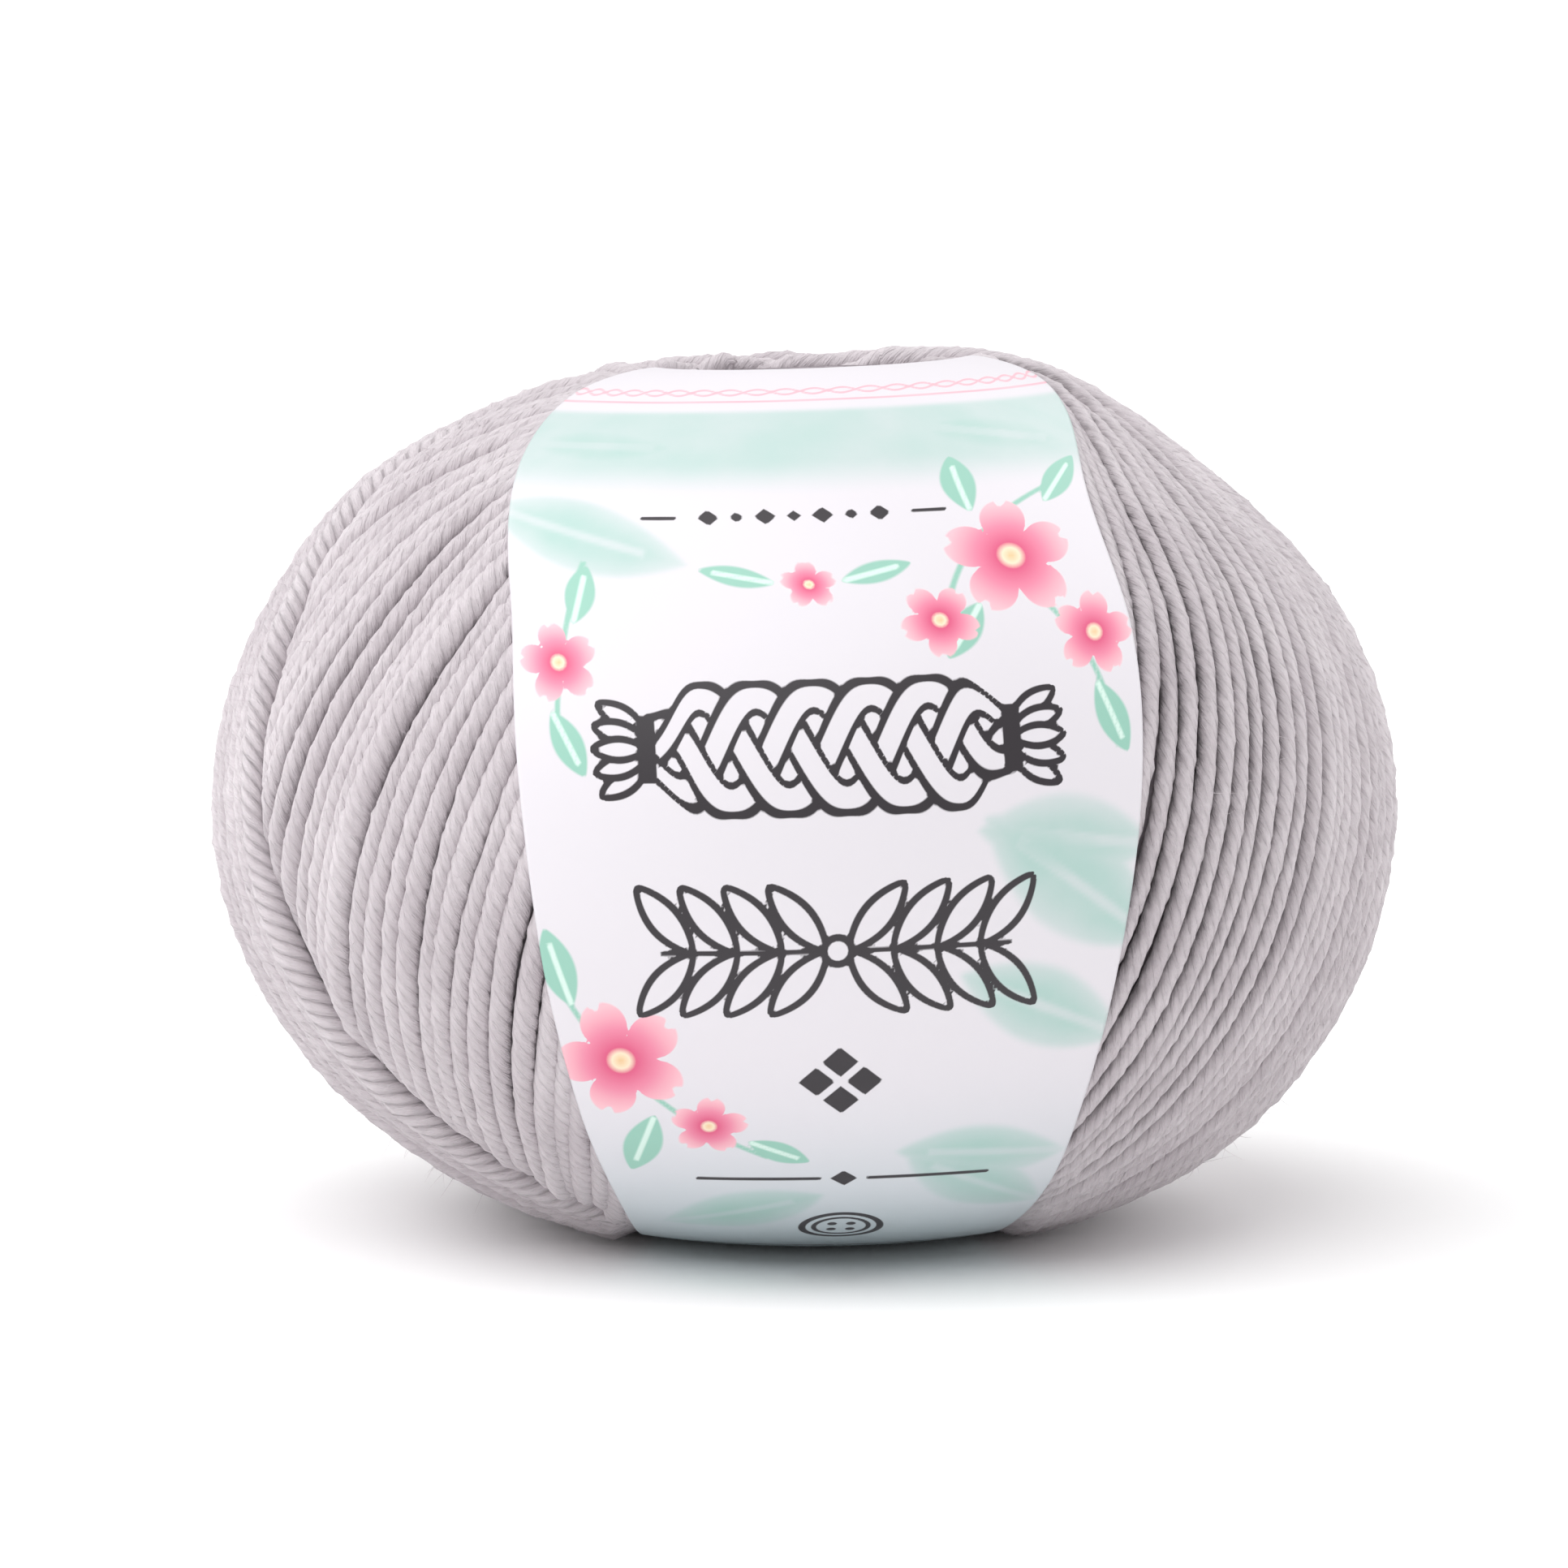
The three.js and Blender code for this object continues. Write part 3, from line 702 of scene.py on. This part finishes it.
def garland(level, pitch, leaves, length, half, spread):
    """Outlined leaves in pairs that point out from the middle along a stem, with a bud in the middle."""
    ink = bowed_line((-pitch * leaves, level), (pitch * leaves, level), 0, FINE_PEN)
    for number in range(leaves - 1, -1, -1):
        for heading in (spread, -spread, math.pi - spread, math.pi + spread):
            root = (math.copysign(0.9 + pitch * number, math.cos(heading)), level)
            ink = drawn_over(ink, leaf(root, heading, length, half)[0], PEN)
    return drawn_over(ink, np.hypot(u, v - level) - 1.1, PEN)


def diamond(spot, half):
    """The distance outside a square that stands on its corner."""
    return (np.abs(u - spot[0]) + np.abs(v - spot[1]) - half) / math.sqrt(2)


def rule(level, inner, outer, half):
    """The distance outside two level lines, from inner to outer on both sides of the middle."""
    return np.maximum.reduce([np.abs(v - level) - half, np.abs(u) - outer, inner - np.abs(u)])


def button(level, radius):
    """The distance outside a two-ringed button with four holes."""
    away = np.hypot(u, v - level)
    holes = np.hypot(np.abs(u) - 0.24 * radius, np.abs(v - level) - 0.24 * radius) - 0.13 * radius
    return np.minimum.reduce([np.abs(away - radius) - PEN, np.abs(away - 0.7 * radius) - FINE_PEN, holes])


dots = [diamond((2.3 * step, 31.5), 0.9 if step % 2 else 0.6) for step in range(-3, 4)]
star = [diamond((1.9 * across, -17.5 + 1.9 * up), 1.45) for across, up in ((1, 0), (0, 1), (-1, 0), (0, -1))]
charcoal = np.minimum.reduce([plait(**PLAIT), garland(**GARLAND), *dots, *star, button(-38.5, 3.2),
                              rule(31.5, 9.5, 12.5, 0.2), rule(-29, 1.8, 12, 0.22), diamond((0, -29), 1.1),
                              rule(-47, 0, 13, 0.22)])

# centre, radius, angle by which it is turned
FLOWERS = [((17.2, 26.2), 5.6, 0.3), ((9.8, 20.6), 3.2, 0.9), ((23.0, 18.6), 3.6, 0.1),
           ((-17.6, -15.4), 5.4, 0.7), ((-10.6, -22.2), 3.1, 0.2), ((-21.6, 17.6), 3.4, 0.5),
           ((0, 24.4), 2.2, 0.31)]
petal_edge, petal_reach = np.full(u.shape, NO_PRINT), np.ones(u.shape)
for spot, radius, turned in FLOWERS:
    outside, reached = blossom(spot, radius, turned)
    petal_reach = np.where(outside < petal_edge, reached, petal_reach)
    petal_edge = np.minimum(petal_edge, outside)

# root, heading, length, half width
LEAVES = [((14.6, 31.0), 1.8, 7.0, 1.5), ((21.5, 31.5), 0.9, 6.5, 1.5), ((13.5, 22.0), -2.2, 6.0, 1.3),
          ((22.5, 14.5), -1.2, 6.5, 1.4), ((-21.5, -10.5), 1.9, 7.0, 1.5), ((-15.0, -21.0), -1.9, 7.5, 1.6),
          ((-7.5, -24.0), -0.5, 5.5, 1.2), ((-20.0, 21.0), 1.2, 6.0, 1.3),
          ((-22.5, 13.5), -1.1, 6.0, 1.3), ((2.6, 24.6), 0.25, 6.2, 1.0), ((-2.6, 24.6), 2.9, 6.2, 1.0)]
stems = [bowed_line((10, 20), (24, 34), 2.5, 0.24), bowed_line((17, 24), (24, 9), 1.5, 0.24),
         bowed_line((-24, -6), (-6, -26), -2.0, 0.24), bowed_line((-22, 10), (-18, 27), 1.2, 0.24)]
leaf_edge = np.minimum.reduce([leaf(*shape)[0] for shape in LEAVES] + stems)
leaf_vein = np.minimum.reduce([leaf(*shape)[1] for shape in LEAVES]) - 0.24

links_of_chain = [np.abs(v - 49.6 - 0.6 * lobe * np.sin(2 * np.pi * u / 4.6)) - 0.2 for lobe in (1, -1)]
pink_lines = np.minimum.reduce(links_of_chain + [rule(47.7, 0, 40, 0.18)])

# root, heading, length, half width, as for the leaves
WASHES = [((27, -7), 2.5, 19, 4.6), ((27, 1), 3.0, 16, 3.8), ((24, -15), 2.7, 16, 3.8),
          ((-27, 33), -0.35, 19, 4.2), ((-26, 41), -0.05, 18, 3.6), ((8, 43), -0.25, 19, 3.6),
          ((17, -35), 2.5, 15, 4.0), ((19, -27), 3.05, 15, 3.6), ((-15, -38), 0.45, 15, 3.8)]
TOP_WASH, TOP_WASH_BELOW, TOP_WASH_ABOVE = 0.75, (33.5, 38.5), (45.2, 46.4)
WASH_EDGE, WASH_MIDDLE, VEIN_LEFT_OUT = 0.55, 3.0, 0.45
LOW_TINT_LEVELS, PRINT_TOP = (-46, -14), 60
mint = TOP_WASH * smoothstep(v, *TOP_WASH_BELOW) * (1 - smoothstep(v, *TOP_WASH_ABOVE))
for shape in WASHES:
    outside, vein = leaf(*shape)
    painted = (1 - smoothstep(outside, -0.9, 0.2)) * (1 - VEIN_LEFT_OUT * (1 - smoothstep(vein, 0.15, 0.7)))
    mint = np.maximum(mint, painted * (WASH_EDGE + (1 - WASH_EDGE) * smoothstep(-outside, 0, WASH_MIDDLE)))
low_tint = (1 - smoothstep(v, *LOW_TINT_LEVELS)) * (v < PRINT_TOP)


def printed_over(tree, under, edge, ink, soft):
    """The ink laid over what is under it where the named distance is below zero, with an edge this soft."""
    return mixed(tree, ranged(tree, own_value(tree, edge), soft, -soft, 0.0, 1.0), under, ink)


PAPER_WHITE, PAPER_LOW = (0.73, 0.70, 0.74), (0.58, 0.665, 0.70)
MINT_WASH, MINT_PALE = (0.29, 0.53, 0.46, 1), (0.42, 0.60, 0.56, 1)
LEAF_GREEN, VEIN_GREEN = (0.30, 0.56, 0.46, 1), (0.66, 0.84, 0.76, 1)
ROSE, CHARCOAL = (0.82, 0.45, 0.52, 1), (0.032, 0.027, 0.032, 1)
PETALS = [(0.0, (0.80, 0.52, 0.25)), (0.14, (0.88, 0.74, 0.55)), (0.24, (0.70, 0.10, 0.22)),
          (0.55, (0.80, 0.24, 0.36)), (0.95, (0.88, 0.50, 0.56))]
paper, tree, shader = new_material("label_paper", 0.42, 0.4)
place = object_place(tree)
brush = noise(tree, place, 130.0, 5.0)
ground = colour_ramp(tree, own_value(tree, "low_tint"), [(0.0, PAPER_WHITE), (1.0, PAPER_LOW)])
wash = maths(tree, "MULTIPLY", own_value(tree, "mint_wash"), ranged(tree, brush, 0.3, 0.7, 0.6, 1.0))
colour = mixed(tree, wash, ground, mixed(tree, brush, MINT_WASH, MINT_PALE))
petal_ink = colour_ramp(tree, own_value(tree, "petal_reach"), PETALS)
# the field, its ink and how soft its edge is in millimetres, from the bottom layer up
INKS = [("leaf_edge", LEAF_GREEN, 0.12), ("leaf_vein", VEIN_GREEN, 0.1), ("petal_edge", petal_ink, 0.1),
        ("pink_lines", ROSE, 0.08), ("charcoal", CHARCOAL, 0.05)]
for edge, ink, soft in INKS:
    colour = printed_over(tree, colour, edge, ink, soft)
grain = noise(tree, place, 2500.0, 2.0)
bump = add_node(tree, "Bump", {"Height": grain, "Strength": 0.12, "Distance": 0.00005})
tree.links.new(colour, shader.inputs["Base Color"])
tree.links.new(bump.outputs["Normal"], shader.inputs["Normal"])

fields = {"leaf_edge": leaf_edge, "leaf_vein": np.maximum(leaf_vein, leaf_edge), "petal_edge": petal_edge,
          "petal_reach": petal_reach, "pink_lines": pink_lines, "charcoal": charcoal, "mint_wash": mint,
          "low_tint": low_tint}
blank = {"petal_reach": 1.0, "mint_wash": 0.0, "low_tint": 0.0}
values = {name: np.where(outer_face, field, blank.get(name, NO_PRINT)).ravel()
          for name, field in fields.items()}
rows, columns = along_grid.shape
band = mesh_piece("printed_label_band", band_points.reshape(-1, 3), [ring_faces(rows, columns)], values)
band.data.materials.append(paper)
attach(band, "root")
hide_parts("label_band")

# ---- The studio ----
# A wide white table under even white light, with a broad soft light from the upper left and two weaker ones
# from the sides, which brighten the ball's edges.
TABLE_HALF = 40.0
table_mesh = bpy.data.meshes.new("table")
table_corners = [(x * TABLE_HALF, y * TABLE_HALF, 0) for x, y in ((-1, -1), (1, -1), (1, 1), (-1, 1))]
table_mesh.from_pydata(table_corners, [], [(0, 1, 2, 3)])
table_top = bpy.data.objects.new("table", table_mesh)
bpy.context.scene.collection.objects.link(table_top)
table_white, tree, shader = new_material("table_white", 0.9, 0.1)
shader.inputs["Base Color"].default_value = (0.95, 0.95, 0.95, 1)
table_mesh.materials.append(table_white)

world = bpy.data.worlds.new("studio")
world.use_nodes = True
world.node_tree.nodes["Background"].inputs["Color"].default_value = (1, 1, 1, 1)
world.node_tree.nodes["Background"].inputs["Strength"].default_value = 0.5
bpy.context.scene.world = world

# name, direction that the light comes from, strength, width in degrees
LIGHTS = [("key", (-0.42, -0.5, 1.25), 1.95, 70), ("left_board", (-1.0, 0.3, 0.5), 1.35, 70),
          ("right_board", (1.0, 0.6, 0.7), 1.35, 70)]
for name, direction, strength, wide in LIGHTS:
    lamp_data = bpy.data.lights.new(name, "SUN")
    lamp_data.energy, lamp_data.angle = strength, math.radians(wide)
    lamp = bpy.data.objects.new(name, lamp_data)
    lamp.rotation_euler = (-Vector(direction)).to_track_quat("-Z", "Y").to_euler()
    bpy.context.scene.collection.objects.link(lamp)

bpy.context.scene.view_settings.view_transform = "Standard"
